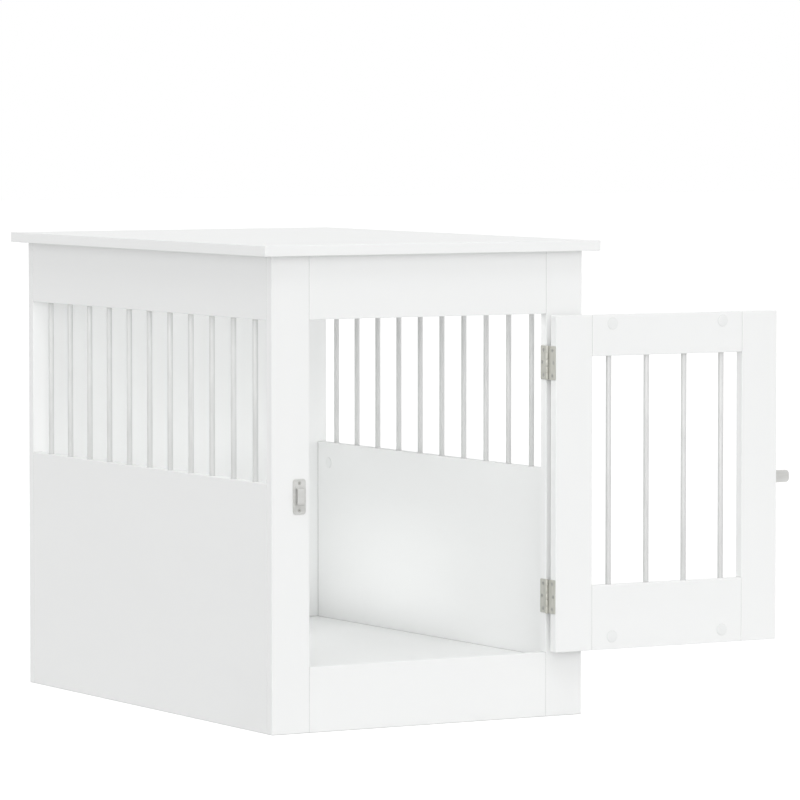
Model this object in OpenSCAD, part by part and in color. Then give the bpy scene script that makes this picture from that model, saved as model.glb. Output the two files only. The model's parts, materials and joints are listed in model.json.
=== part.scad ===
// Flat-pack crate that doubles as an end table, with a barred door standing open.
// X runs across the front, Y runs from the front to the back and Z is up, in millimetres.
// The origin is on the floor, under the middle of the body.

/* [Body] */
// Height from the floor to the upper face of the top board
overall_h = 680; // [640:1:760]
// Width across the two side walls
body_w = 505; // [460:1:600]
// Depth from the front face to the back face
body_d = 762; // [720:1:860]
// Thickness of every board
board_t = 15; // [14:0.5:18]
// How far the top board stands out past each side wall
side_overhang = 20; // [5:1:35]
// How far the top board stands out past the front and the back
end_overhang = 19; // [5:1:35]
// Width of the small bevel on every board edge
arris = 0.6; // [0.3:0.1:1.2]

/* [Front frame] */
// Width of the two uprights beside the doorway
stile_w = 59.5; // [50:0.5:75]
// Height of the rail over the doorway
front_rail_h = 89; // [80:1:120]
// Height of the plinth under the doorway
plinth_h = 92; // [85:1:120]

/* [Side walls] */
// Height of the closed lower panel
lower_panel_h = 349; // [300:1:400]
// Height of the rail over the side bars
side_rail_h = 89; // [80:1:120]
// Number of bars in each side wall
side_bar_count = 11; // [5:1:11]

/* [Floor] */
// Step down from the top of the plinth to the floor board
floor_drop = 15; // [5:1:20]
// Gap between the floor board and the boards around it
floor_gap = 0.5; // [0.2:0.1:0.8]

/* [Bars] */
// Diameter of the metal bars
bar_d = 8; // [6:0.5:10]
// Distance from one bar to the next
bar_pitch = 64; // [40:1:68]
// Depth to which each bar end sits in its board
bar_seat = 10; // [6:0.5:14]
// Space left over the upper end of each bar
bar_end_gap = 0.6; // [0.3:0.1:0.9]

/* [Door] */
// Angle to which the door is swung open from its closed place
door_open_angle = 180; // [90:1:186]
// Gap over and under the door
door_gap_v = 2; // [1.5:0.5:4]
// Gap between the door's free edge and the upright
latch_gap = 4; // [3:0.5:7]
// Width of the door's uprights
door_stile_w = 60.5; // [57.5:0.5:65]
// Height of the door's top rail
door_top_rail_h = 59; // [52:1:75]
// Height of the door's bottom rail
door_bottom_rail_h = 93; // [60:1:110]
// Number of bars in the door
door_bar_count = 4; // [2:1:4]
// Drop from the door's top edge to the upper fastener centres
door_top_cam_inset = 13; // [12:0.5:18]
// Rise from the door's bottom edge to the lower fastener centres
door_bottom_cam_inset = 18.5; // [12:0.5:24]
// Drop from the door's top edge to the upper dowels
door_top_dowel_inset = 42; // [34:1:46]
// Rise from the door's bottom edge to the lower dowels
door_bottom_dowel_inset = 50; // [38:1:54]

/* [Hinges] */
// Height of a hinge
hinge_h = 48; // [44:1:60]
// Outside diameter of the knuckles, which also sets the gap at the hinge edge
knuckle_d = 5; // [4.6:0.1:6]
// Number of knuckles in a hinge
knuckle_count = 5; // [3:2:7]
// Gap between neighbouring knuckles
knuckle_gap = 0.3; // [0.2:0.1:0.6]
// Thickness of the leaves
leaf_t = 1.2; // [1:0.1:1.4]
// Reach of a leaf from the pin's axis
leaf_reach = 19.5; // [18:0.1:20]
// Distance of the pin's axis in front of the boards
hinge_offset = 6; // [4.5:0.1:6.5]
// Drop from the door's top edge to the middle of the upper hinge
hinge_inset_top = 67.5; // [50:0.5:90]
// Rise from the door's bottom edge to the middle of the lower hinge
hinge_inset_bottom = 79; // [60:0.5:100]
// Distance from the pin's axis to the middle screw
hinge_screw_far = 15; // [14:0.1:15.5]
// Distance from the pin's axis to the upper and lower screws
hinge_screw_near = 12; // [10:0.1:12.5]
// Distance of the upper and lower screws from the middle screw
hinge_screw_rise = 17.8; // [15:0.1:18.5]

/* [Latch] */
// Height of the bolt's middle above the floor
latch_z = 330.5; // [280:0.5:400]
// Height of the flat bolt
bolt_h = 18; // [14:0.5:20]
// Thickness of the flat bolt
bolt_t = 3; // [2.4:0.1:3.4]
// How far the thrown bolt stands out past the door's edge
bolt_throw = 33.5; // [30:0.5:38]
// Corner radius of the bolt's end
bolt_end_r = 6; // [3:0.5:6.5]
// Length of the latch plate
latch_plate_l = 52; // [50:0.5:56]
// Height of the latch plate
latch_plate_h = 38; // [36.5:0.5:44]
// Width of the two guides on the latch plate
guide_w = 4; // [3:0.5:5]
// Distance of the latch plate from the door's edge
latch_plate_inset = 1.7; // [1.2:0.1:2]
// Width of the keeper plate
keeper_w = 19.5; // [18:0.5:24]
// Height of the keeper plate
keeper_h = 49; // [48:0.5:56]
// Distance of the keeper plate from the doorway
keeper_inset = 6.5; // [2:0.5:8]
// Width of the keeper's bridge
bridge_w = 11; // [10:0.5:16]
// Play above and below the bolt in the keeper
keeper_play = 1.5; // [1:0.1:1.7]
// Distance of the keeper's screws from its middle
keeper_screw_rise = 19; // [18.7:0.1:20]
// Corner radius of the plates
plate_r = 4; // [2:0.5:5]
// Thickness of the plates and of their bridges
plate_t = 1.2; // [1:0.1:1.5]
// Diameter of the knob
knob_d = 14; // [10:0.5:18]
// Length of the knob in front of the guides
knob_h = 6; // [4:0.5:9]
// Diameter of the knob's stem
knob_stem_d = 6; // [5:0.2:6.4]

/* [Screws] */
// Diameter of the screw shanks
screw_d = 3; // [2.6:0.1:3.2]
// Length of the screws below the plates
screw_l = 11; // [8:0.5:12.5]
// Width across the screw heads
screw_head_d = 5.6; // [5:0.1:5.8]

/* [Board joints] */
// Diameter of the cam locks
cam_d = 15; // [12:0.5:16]
// Depth of the cam locks' recesses
cam_depth = 12; // [11.5:0.1:12.5]
// Distance from a joint to the middle of its cam lock
cam_setback = 34; // [32:0.5:36]
// Diameter of the cam pins
cam_pin_d = 6; // [5:0.2:7]
// Depth to which a cam pin is screwed into a board
cam_pin_grip = 11; // [9:0.5:11.5]
// Diameter of the white cover caps
cap_d = 16; // [16:0.5:20]
// Height of the cover caps
cap_t = 0.8; // [0.5:0.1:1.2]
// Distance from the lower panel's upper and lower edges to its cam locks
panel_cam_inset = 31; // [28:1:36]
// Diameter of the dowels
dowel_d = 8; // [6:0.5:8]
// Length of the dowels
dowel_l = 29; // [26:1:30]
// Depth to which a dowel sits in the face of a board
dowel_grip = 10; // [8:0.5:11]
// Distance of the dowels above and below a rail's cam lock
rail_dowel_rise = 28; // [20:1:30]

/* [Fits] */
// Clearance all round a piece that is pushed into its bore
fit = 0.1; // [0.05:0.01:0.15]
// Clearance round the hinge pin in the knuckles that turn on it
pin_fit = 0.06; // [0.03:0.01:0.1]
// Clearance over and under the sliding bolt
slide_gap = 0.3; // [0.2:0.05:0.4]

/* [Hidden] */
$fn = 48;

top_under_z = overall_h - board_t;
half_w = body_w / 2;
wall_in_x = half_w - board_t;
wall_mid_x = half_w - board_t / 2;
front_y = -body_d / 2;
front_in_y = front_y + board_t;
front_mid_y = front_y + board_t / 2;
back_in_y = -front_in_y;
back_mid_y = -front_mid_y;
doorway_x = half_w - stile_w;
doorway_z1 = top_under_z - front_rail_h;
window_z1 = top_under_z - side_rail_h;
floor_z = plinth_h - floor_drop;

door_x1 = doorway_x - knuckle_d;
door_x0 = latch_gap - doorway_x;
door_z0 = plinth_h + door_gap_v;
door_z1 = doorway_z1 - door_gap_v;
door_window_x1 = door_x1 - door_stile_w;
door_window_x0 = door_x0 + door_stile_w;
door_window_z0 = door_z0 + door_bottom_rail_h;
door_window_z1 = door_z1 - door_top_rail_h;

knuckle_r = knuckle_d / 2;
hinge_x = doorway_x - knuckle_r;
hinge_y = front_y - hinge_offset;
hinge_levels = [door_z1 - hinge_inset_top, door_z0 + hinge_inset_bottom];
hinge_pin_d = knuckle_d - 2 * leaf_t;
knuckle_h = (hinge_h - (knuckle_count - 1) * knuckle_gap) / knuckle_count;

slot_h = bolt_t + 2 * slide_gap;
roof_z = plate_t + slot_h;
strap_top_z = roof_z + plate_t;
bolt_z = plate_t + slide_gap;
bolt_tail_x = -(latch_plate_inset + latch_plate_l);
knob_x = -(latch_plate_inset + guide_w + slide_gap + knob_stem_d / 2);
knob_stud_d = knob_stem_d * 2 / 3;
strap_splay = 1.2;
screw_margin = 11.5;
keeper_x = latch_gap + keeper_inset + keeper_w / 2;
eps = 0.5;

top_cam_y = 250;
top_dowel_y = 125;
front_cam_x = 100;
back_cam_x = 150;
floor_cam_y = 220;
floor_dowel_y = 70;
panel_dowel_z = lower_panel_h / 2;
side_rail_mid_z = top_under_z - side_rail_h / 2;
front_rail_mid_z = top_under_z - front_rail_h / 2;
plinth_mid_z = plinth_h / 2;
floor_mid_z = floor_z - board_t / 2;

board_colour = [0.94, 0.94, 0.93];
steel_colour = [0.72, 0.73, 0.71];
bar_colour = [0.82, 0.83, 0.82];
zinc_colour = [0.66, 0.67, 0.68];
dowel_colour = [0.83, 0.70, 0.50];

// A joint is [point, direction into the board with the cam lock, normal of the lock's face].
// The point lies where the middles of the two boards' thicknesses meet.
function panel_joints(s, z) =
    [for (e = [-1, 1]) [[s * wall_mid_x, e * back_in_y, z], [0, -e, 0], [-s, 0, 0]]];
function side_top_joints(s, reach) =
    [for (e = [-1, 1]) [[s * wall_mid_x, e * reach, top_under_z], [0, 0, -1], [-s, 0, 0]]];
function front_joints(z) =
    [for (s = [-1, 1]) [[s * doorway_x, front_mid_y, z], [-s, 0, 0], [0, 1, 0]]];
function end_top_joints(end, reach) =
    [for (s = [-1, 1]) [[s * reach, end * back_mid_y, top_under_z], [0, 0, -1], [0, -end, 0]]];
function floor_joints(s, ys) =
    [for (y = ys) [[s * wall_in_x, y, floor_mid_z], [-s, 0, 0], [0, 0, -1]]];
function door_joints(z) = [
    [[door_window_x1, front_mid_y, z], [-1, 0, 0], [0, 1, 0]],
    [[door_window_x0, front_mid_y, z], [1, 0, 0], [0, 1, 0]]
];

function panel_upper_cams(s) = panel_joints(s, lower_panel_h - panel_cam_inset);
function panel_lower_cams(s) = panel_joints(s, panel_cam_inset);
function panel_dowels(s) = panel_joints(s, panel_dowel_z);
function side_rail_cams(s) = panel_joints(s, side_rail_mid_z);
function side_rail_dowels(s) = [for (e = [-1, 1])
    each panel_joints(s, side_rail_mid_z + e * rail_dowel_rise)];
function rail_dowels(mid_z) = [for (e = [-1, 1])
    each front_joints(mid_z + e * rail_dowel_rise)];
function floor_cams(s) = floor_joints(s, [-floor_cam_y, floor_cam_y]);
function floor_dowels(s) = floor_joints(s, [-floor_dowel_y, floor_dowel_y]);
door_cam_joints = concat(door_joints(door_z1 - door_top_cam_inset),
                         door_joints(door_z0 + door_bottom_cam_inset));
door_dowel_joints = concat(door_joints(door_z1 - door_top_dowel_inset),
                           door_joints(door_z0 + door_bottom_dowel_inset));
body_capped_joints = concat(
    [for (s = [-1, 1]) each concat(panel_upper_cams(s), side_rail_cams(s),
                                   side_top_joints(s, top_cam_y))],
    front_joints(front_rail_mid_z), end_top_joints(-1, front_cam_x),
    end_top_joints(1, back_cam_x));
body_hidden_joints = concat(
    [for (s = [-1, 1]) each concat(panel_lower_cams(s), floor_cams(s))],
    front_joints(plinth_mid_z));
body_dowel_joints = concat(
    [for (s = [-1, 1]) each concat(panel_dowels(s), side_rail_dowels(s), floor_dowels(s),
                                   side_top_joints(s, top_dowel_y))],
    rail_dowels(front_rail_mid_z), rail_dowels(plinth_mid_z));

// Puts children in the frame with its origin at p, its X along x and its Z along z.
module at_frame(p, x, z) {
    y = cross(z, x);
    multmatrix([[x[0], y[0], z[0], p[0]], [x[1], y[1], z[1], p[1]],
                [x[2], y[2], z[2], p[2]], [0, 0, 0, 1]])
        children();
}

module at_joints(joints) {
    for (j = joints) at_frame(j[0], j[1], j[2]) children();
}

// Swings children, drawn with the door closed, to where the door stands.
module swung() {
    translate([hinge_x, hinge_y, 0]) rotate([0, 0, door_open_angle])
        translate([-hinge_x, -hinge_y, 0]) children();
}

module arris_rect(w, h) {
    polygon([[arris, 0], [w - arris, 0], [w, arris], [w, h - arris],
             [w - arris, h], [arris, h], [0, h - arris], [0, arris]]);
}

// A board between two opposite corners, with a small bevel on every edge.
module board(low, high) {
    size = high - low;
    translate(low) intersection() {
        linear_extrude(size.z) arris_rect(size.x, size.y);
        translate([0, size.y, 0]) rotate([90, 0, 0])
            linear_extrude(size.y) arris_rect(size.x, size.z);
        rotate([90, 0, 90]) linear_extrude(size.x) arris_rect(size.y, size.z);
    }
}

module rod(d, from, to) {
    translate([from, 0, 0]) rotate([0, 90, 0]) cylinder(d = d, h = to - from);
}

// Bores for a cam lock and its pin.
module cam_bores(joints) {
    at_joints(joints) {
        translate([cam_setback, 0, board_t / 2 - cam_depth]) cylinder(d = cam_d, h = cam_depth + eps);
        rod(cam_pin_d + 2 * fit, -cam_pin_grip, cam_setback);
    }
}

module dowel_bores(joints) {
    at_joints(joints) rod(dowel_d + 2 * fit, -dowel_grip, dowel_l - dowel_grip + 2 * fit);
}

// Pin with a waist that the cam lock grips behind its head.
module cam_pin() {
    head_x = cam_setback + cam_pin_d / 3;
    waist = cam_pin_d / 2;
    rotate([0, 90, 0]) rotate_extrude() polygon([
        [0, fit - cam_pin_grip], [cam_pin_d / 2, 1 - cam_pin_grip],
        [cam_pin_d / 2, head_x - 2 * waist], [cam_pin_d / 3, head_x - 1.7 * waist],
        [cam_pin_d / 3, head_x - waist], [cam_pin_d / 2, head_x - 0.7 * waist],
        [cam_pin_d / 2, head_x - fit], [0, head_x - fit]]);
}

// Drum that draws the pin's head in, with a cross recess for the screwdriver.
module cam_lock() {
    drum_h = cam_depth - fit;
    difference() {
        translate([cam_setback, 0, board_t / 2 - cam_depth])
            cylinder(d = cam_d - 2 * fit, h = drum_h);
        rod(cam_pin_d + 4 * fit, cam_setback - cam_d, cam_setback + cam_pin_d / 3 + fit);
        for (turn = [0, 90]) translate([cam_setback, 0, board_t / 2]) rotate([0, 0, turn])
            cube([cam_d * 0.5, 1.6, 3.2], center = true);
    }
}

module cover_cap() {
    translate([cam_setback, 0, board_t / 2]) cylinder(d1 = cap_d, d2 = cap_d - cap_t, h = cap_t);
}

module dowel() {
    chamfer = 1;
    rotate([0, 90, 0]) rotate_extrude() polygon([
        [0, fit - dowel_grip], [dowel_d / 2 - chamfer, fit - dowel_grip],
        [dowel_d / 2, fit + chamfer - dowel_grip], [dowel_d / 2, dowel_l - dowel_grip - chamfer],
        [dowel_d / 2 - chamfer, dowel_l - dowel_grip], [0, dowel_l - dowel_grip]]);
}

// Height of a bar that stands on the bottom of its lower bore.
function bar_l(window_h) = window_h + 2 * bar_seat;

module bar(z0, z1) {
    bevel = 0.8;
    translate([0, 0, z0 - bar_seat]) rotate_extrude() polygon([
        [0, 0], [bar_d / 2 - bevel, 0], [bar_d / 2, bevel], [bar_d / 2, bar_l(z1 - z0) - bevel],
        [bar_d / 2 - bevel, bar_l(z1 - z0)], [0, bar_l(z1 - z0)]]);
}

module bar_bores(z0, z1) {
    translate([0, 0, z0 - bar_seat])
        cylinder(d = bar_d + 2 * fit, h = bar_l(z1 - z0) + bar_end_gap);
}

module at_side_bars(s) {
    for (i = [0 : side_bar_count - 1])
        translate([s * wall_mid_x, (i - (side_bar_count - 1) / 2) * bar_pitch, 0]) children();
}

module at_door_bars() {
    mid_x = (door_window_x0 + door_window_x1) / 2;
    for (i = [0 : door_bar_count - 1])
        translate([mid_x + (i - (door_bar_count - 1) / 2) * bar_pitch, front_mid_y, 0]) children();
}

module top_panel() {
    out_x = half_w + side_overhang;
    out_y = end_overhang - front_y;
    color(board_colour) difference() {
        board([-out_x, -out_y, top_under_z], [out_x, out_y, overall_h]);
        for (s = [-1, 1]) {
            cam_bores(side_top_joints(s, top_cam_y));
            dowel_bores(side_top_joints(s, top_dowel_y));
        }
        cam_bores(end_top_joints(-1, front_cam_x));
        cam_bores(end_top_joints(1, back_cam_x));
    }
}

module front_stile(s) {
    color(board_colour) difference() {
        board([min(s * half_w, s * doorway_x), front_y, 0],
              [max(s * half_w, s * doorway_x), front_in_y, top_under_z]);
        cam_bores(concat(panel_upper_cams(s), panel_lower_cams(s), side_rail_cams(s)));
        cam_bores(concat(front_joints(front_rail_mid_z), front_joints(plinth_mid_z)));
        dowel_bores(concat(panel_dowels(s), side_rail_dowels(s)));
        dowel_bores(concat(rail_dowels(front_rail_mid_z), rail_dowels(plinth_mid_z)));
        at_frame_leaves() screw_pilots();
        at_keeper() keeper_pilots();
    }
}

module front_top_rail() {
    color(board_colour) difference() {
        board([-doorway_x, front_y, doorway_z1], [doorway_x, front_in_y, top_under_z]);
        cam_bores(concat(front_joints(front_rail_mid_z), end_top_joints(-1, front_cam_x)));
        dowel_bores(rail_dowels(front_rail_mid_z));
    }
}

module front_plinth() {
    color(board_colour) difference() {
        board([-doorway_x, front_y, 0], [doorway_x, front_in_y, plinth_h]);
        cam_bores(front_joints(plinth_mid_z));
        dowel_bores(rail_dowels(plinth_mid_z));
    }
}

module side_board(s, z0, z1) {
    board([min(s * half_w, s * wall_in_x), front_in_y, z0],
          [max(s * half_w, s * wall_in_x), back_in_y, z1]);
}

module side_top_rail(s) {
    color(board_colour) difference() {
        side_board(s, window_z1, top_under_z);
        cam_bores(concat(side_rail_cams(s), side_top_joints(s, top_cam_y)));
        dowel_bores(concat(side_rail_dowels(s), side_top_joints(s, top_dowel_y)));
        at_side_bars(s) bar_bores(lower_panel_h, window_z1);
    }
}

module side_lower_panel(s) {
    color(board_colour) difference() {
        side_board(s, 0, lower_panel_h);
        cam_bores(concat(panel_upper_cams(s), panel_lower_cams(s), floor_cams(s)));
        dowel_bores(concat(panel_dowels(s), floor_dowels(s)));
        at_side_bars(s) bar_bores(lower_panel_h, window_z1);
    }
}

module side_bars(s) {
    color(bar_colour) at_side_bars(s) bar(lower_panel_h, window_z1);
}

module back_panel() {
    color(board_colour) difference() {
        board([-half_w, back_in_y, 0], [half_w, -front_y, top_under_z]);
        for (s = [-1, 1]) {
            cam_bores(concat(panel_upper_cams(s), panel_lower_cams(s), side_rail_cams(s)));
            dowel_bores(concat(panel_dowels(s), side_rail_dowels(s)));
        }
        cam_bores(end_top_joints(1, back_cam_x));
    }
}

module floor_panel() {
    edge_x = wall_in_x - floor_gap;
    edge_y = back_in_y - floor_gap;
    color(board_colour) difference() {
        board([-edge_x, -edge_y, floor_z - board_t], [edge_x, edge_y, floor_z]);
        for (s = [-1, 1]) {
            cam_bores(floor_cams(s));
            dowel_bores(floor_dowels(s));
        }
    }
}

module body_cam_locks() {
    color(zinc_colour) at_joints(concat(body_capped_joints, body_hidden_joints)) cam_lock();
}

module body_cam_pins() {
    color(zinc_colour) at_joints(concat(body_capped_joints, body_hidden_joints)) cam_pin();
}

module body_dowels() {
    color(dowel_colour) at_joints(body_dowel_joints) dowel();
}

module body_cover_caps() {
    color(board_colour) at_joints(body_capped_joints) cover_cap();
}

module door_hinge_stile() {
    color(board_colour) swung() difference() {
        board([door_window_x1, front_y, door_z0], [door_x1, front_in_y, door_z1]);
        cam_bores(door_cam_joints);
        dowel_bores(door_dowel_joints);
        at_door_leaves() screw_pilots();
    }
}

module door_latch_stile() {
    color(board_colour) swung() difference() {
        board([door_x0, front_y, door_z0], [door_window_x0, front_in_y, door_z1]);
        cam_bores(door_cam_joints);
        dowel_bores(door_dowel_joints);
        at_latch() latch_pilots();
    }
}

module door_rail(z0, z1) {
    color(board_colour) swung() difference() {
        board([door_window_x0, front_y, z0], [door_window_x1, front_in_y, z1]);
        cam_bores(door_cam_joints);
        dowel_bores(door_dowel_joints);
        at_door_bars() bar_bores(door_window_z0, door_window_z1);
    }
}

module door_bars() {
    color(bar_colour) swung() at_door_bars() bar(door_window_z0, door_window_z1);
}

module door_cam_locks() {
    color(zinc_colour) swung() at_joints(door_cam_joints) cam_lock();
}

module door_cam_pins() {
    color(zinc_colour) swung() at_joints(door_cam_joints) cam_pin();
}

module door_dowels() {
    color(dowel_colour) swung() at_joints(door_dowel_joints) dowel();
}

module door_cover_caps() {
    color(board_colour) swung() at_joints(door_cam_joints) cover_cap();
}

// Countersunk screw with its head flush with a plate of the given thickness.
module screw(t) {
    point = screw_d;
    difference() {
        rotate_extrude() polygon([
            [0, t], [screw_head_d / 2, t], [screw_d / 2, 0], [screw_d / 2, point - screw_l],
            [0, -screw_l]]);
        for (turn = [0, 90]) rotate([0, 0, turn]) translate([0, 0, t])
            cube([screw_d, 0.7, 1.2], center = true);
    }
}

module screw_hole(t) {
    rotate_extrude() polygon([
        [0, t + eps], [screw_head_d / 2 + fit, t + eps], [screw_head_d / 2 + fit, t],
        [screw_d / 2 + fit, 0], [screw_d / 2 + fit, -eps], [0, -eps]]);
}

module pilot() {
    translate([0, 0, -screw_l]) cylinder(d = screw_d + 2 * fit, h = screw_l + eps);
}

// Frames of the leaves: the origin is on the pin's axis, X runs along the leaf,
// Y points to the board behind it, and the leaf's mounting face is one knuckle radius away.
module at_frame_leaves() {
    for (z = hinge_levels) at_frame([hinge_x, hinge_y, z], [0, 1, 0], [0, 0, -1]) children();
}

module at_door_leaves() {
    for (z = hinge_levels) at_frame([hinge_x, hinge_y, z], [0, 1, 0], [0, 0, 1]) children();
}

module at_leaf_screws() {
    for (e = [-1, 0, 1])
        at_frame([e == 0 ? hinge_screw_far : hinge_screw_near, knuckle_r, e * hinge_screw_rise],
                 [1, 0, 0], [0, -1, 0])
            children();
}

module screw_pilots() {
    at_leaf_screws() pilot();
}

module leaf_screws() {
    at_leaf_screws() screw(leaf_t);
}

// Leaf rolled round the pin at every other knuckle, counted from the bottom.
module leaf(first, bore_d) {
    step = knuckle_h + knuckle_gap;
    difference() {
        union() {
            translate([0, knuckle_r - leaf_t, -hinge_h / 2]) cube([leaf_reach, leaf_t, hinge_h]);
            translate([0, 0, -hinge_h / 2]) cylinder(r = knuckle_r, h = hinge_h);
        }
        for (i = [0 : knuckle_count - 1]) if (i % 2 != first)
            translate([-2 * knuckle_r, -2 * knuckle_r, i * step - knuckle_gap - hinge_h / 2])
                cube([3 * knuckle_r + knuckle_gap, 4 * knuckle_r, knuckle_h + 2 * knuckle_gap]);
        translate([0, 0, -hinge_h]) cylinder(d = bore_d, h = 2 * hinge_h);
        at_leaf_screws() screw_hole(leaf_t);
    }
}

module frame_leaf(z) {
    color(steel_colour) at_frame([hinge_x, hinge_y, z], [0, 1, 0], [0, 0, -1])
        leaf(0, hinge_pin_d + pin_fit);
}

module door_leaf(z) {
    color(steel_colour) swung() at_frame([hinge_x, hinge_y, z], [0, 1, 0], [0, 0, 1])
        leaf(1, hinge_pin_d + 2 * pin_fit);
}

// Pin with a low domed head at each end.
module hinge_pin(z) {
    head_h = 0.8;
    head_r = knuckle_r * 0.8;
    dome = [for (a = [0 : 30 : 90]) [head_r * sin(a), hinge_h / 2 + head_h * cos(a)]];
    color(steel_colour) translate([hinge_x, hinge_y, z]) rotate_extrude() polygon(concat(
        [for (p = dome) [p.x, -p.y]],
        [[hinge_pin_d / 2, -hinge_h / 2], [hinge_pin_d / 2, hinge_h / 2]],
        [for (i = [len(dome) - 1 : -1 : 0]) dome[i]]));
}

// Frames of the latch: the origin is where the door's free edge meets its outer face,
// X runs towards the keeper and Z points out of the face.
module at_latch() {
    at_frame([door_x0, front_y, latch_z], [-1, 0, 0], [0, -1, 0]) children();
}

module at_keeper() {
    at_latch() translate([keeper_x, 0, 0]) children();
}

module at_latch_screws() {
    for (x = [screw_margin, latch_plate_l - screw_margin], e = [-1, 1])
        translate([-latch_plate_inset - x,
                   e * (latch_plate_h / 2 - screw_head_d / 2 - plate_t), 0])
            children();
}

module latch_pilots() {
    at_latch_screws() pilot();
}

module at_keeper_screws() {
    for (e = [-1, 1]) translate([0, e * keeper_screw_rise, 0]) children();
}

module keeper_pilots() {
    at_keeper_screws() pilot();
}

// Flat plate with round corners, centred on its middle.
module plate(l, h) {
    linear_extrude(plate_t) {
        square([l - 2 * plate_r, h], center = true);
        square([l, h - 2 * plate_r], center = true);
        for (x = [-1, 1], y = [-1, 1])
            translate([x * (l / 2 - plate_r), y * (h / 2 - plate_r)]) circle(r = plate_r);
    }
}

// Pressed bridge over the bolt, with legs that spread towards the plate.
module strap(width, inside_h) {
    half = inside_h / 2;
    shoulder = plate_t;
    translate([-width / 2, 0, 0]) rotate([90, 0, 90]) linear_extrude(width) difference() {
        polygon([
            [-half - plate_t - strap_splay, plate_t / 2], [half + plate_t + strap_splay, plate_t / 2],
            [half + plate_t, strap_top_z - shoulder], [half + plate_t - shoulder, strap_top_z],
            [shoulder - half - plate_t, strap_top_z], [-half - plate_t, strap_top_z - shoulder]]);
        polygon([
            [-half - strap_splay, plate_t], [half + strap_splay, plate_t],
            [half, roof_z], [-half, roof_z]]);
    }
}

module latch_plate() {
    color(steel_colour) swung() at_latch() difference() {
        union() {
            translate([-latch_plate_inset - latch_plate_l / 2, 0, 0])
                plate(latch_plate_l, latch_plate_h);
            for (x = [guide_w / 2, latch_plate_l - guide_w / 2])
                translate([-latch_plate_inset - x, 0, 0]) strap(guide_w, bolt_h + 2 * slide_gap);
        }
        at_latch_screws() screw_hole(plate_t);
    }
}

// Flat bolt with a round-cornered end and a bevel round its outer face.
module latch_bolt() {
    bevel = 0.7;
    bolt_l = bolt_throw - bolt_tail_x;
    color(steel_colour) swung() at_latch() translate([bolt_tail_x, 0, bolt_z]) difference() {
        intersection() {
            linear_extrude(bolt_t) {
                translate([0, -bolt_h / 2]) square([bolt_l - bolt_end_r, bolt_h]);
                translate([0, bolt_end_r - bolt_h / 2]) square([bolt_l, bolt_h - 2 * bolt_end_r]);
                for (e = [-1, 1]) translate([bolt_l - bolt_end_r, e * (bolt_h / 2 - bolt_end_r)])
                    circle(r = bolt_end_r);
            }
            rotate([90, 0, 90]) linear_extrude(bolt_l) polygon([
                [-bolt_h / 2, 0], [bolt_h / 2, 0], [bolt_h / 2, bolt_t - bevel],
                [bolt_h / 2 - bevel, bolt_t], [bevel - bolt_h / 2, bolt_t],
                [-bolt_h / 2, bolt_t - bevel]]);
            translate([0, bolt_h / 2, 0]) rotate([90, 0, 0]) linear_extrude(bolt_h) polygon([
                [0, 0], [bolt_l, 0], [bolt_l, bolt_t - bevel], [bolt_l - bevel, bolt_t],
                [bevel, bolt_t], [0, bolt_t - bevel]]);
        }
        translate([knob_x - bolt_tail_x, 0, -eps])
            cylinder(d = knob_stud_d + 2 * fit, h = bolt_t + 2 * eps);
    }
}

// Turned knob riveted into the bolt, clear of the guides.
module latch_knob() {
    neck_z = strap_top_z + slide_gap;
    round_r = knob_h / 3;
    color(steel_colour) swung() at_latch() translate([knob_x, 0, 0]) rotate_extrude() polygon(concat(
        [[0, bolt_z], [knob_stud_d / 2, bolt_z], [knob_stud_d / 2, bolt_z + bolt_t],
         [knob_stem_d / 2, bolt_z + bolt_t], [knob_stem_d / 2, neck_z],
         [knob_d / 2 - round_r, neck_z]],
        [for (a = [-75 : 15 : 0]) [knob_d / 2 + round_r * (cos(a) - 1),
                                   neck_z + round_r * (1 + sin(a))]],
        [for (a = [0 : 15 : 75]) [knob_d / 2 + round_r * (cos(a) - 1),
                                  neck_z + knob_h - round_r * (1 - sin(a))]],
        [[knob_d / 2 - round_r, neck_z + knob_h], [0, neck_z + knob_h]]));
}

module latch_screws() {
    color(steel_colour) swung() at_latch() at_latch_screws() screw(plate_t);
}

module keeper_plate() {
    color(steel_colour) at_keeper() difference() {
        union() {
            plate(keeper_w, keeper_h);
            strap(bridge_w, bolt_h + 2 * keeper_play);
        }
        at_keeper_screws() screw_hole(plate_t);
    }
}

module keeper_screws() {
    color(steel_colour) at_keeper() at_keeper_screws() screw(plate_t);
}

top_panel();
front_stile(-1);  // front_left_stile
front_stile(1);  // front_right_stile
front_top_rail();
front_plinth();
side_top_rail(-1);  // left_top_rail
side_lower_panel(-1);  // left_lower_panel
side_bars(-1);  // left_bars
side_top_rail(1);  // right_top_rail
side_lower_panel(1);  // right_lower_panel
side_bars(1);  // right_bars
back_panel();
floor_panel();
body_cam_locks();
body_cam_pins();
body_dowels();
body_cover_caps();
door_hinge_stile();
door_latch_stile();
door_rail(door_window_z1, door_z1);  // door_top_rail
door_rail(door_z0, door_window_z0);  // door_bottom_rail
door_bars();
door_cam_locks();
door_cam_pins();
door_dowels();
door_cover_caps();
frame_leaf(hinge_levels[0]);  // upper_hinge_frame_leaf
door_leaf(hinge_levels[0]);  // upper_hinge_door_leaf
hinge_pin(hinge_levels[0]);  // upper_hinge_pin
frame_leaf(hinge_levels[1]);  // lower_hinge_frame_leaf
door_leaf(hinge_levels[1]);  // lower_hinge_door_leaf
hinge_pin(hinge_levels[1]);  // lower_hinge_pin
color(steel_colour) at_frame_leaves() leaf_screws();  // hinge_frame_screws
color(steel_colour) swung() at_door_leaves() leaf_screws();  // hinge_door_screws
latch_plate();
latch_bolt();
latch_knob();
latch_screws();
keeper_plate();
keeper_screws();
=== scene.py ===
import json
import math

import bpy
from mathutils import Matrix, Vector


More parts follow.
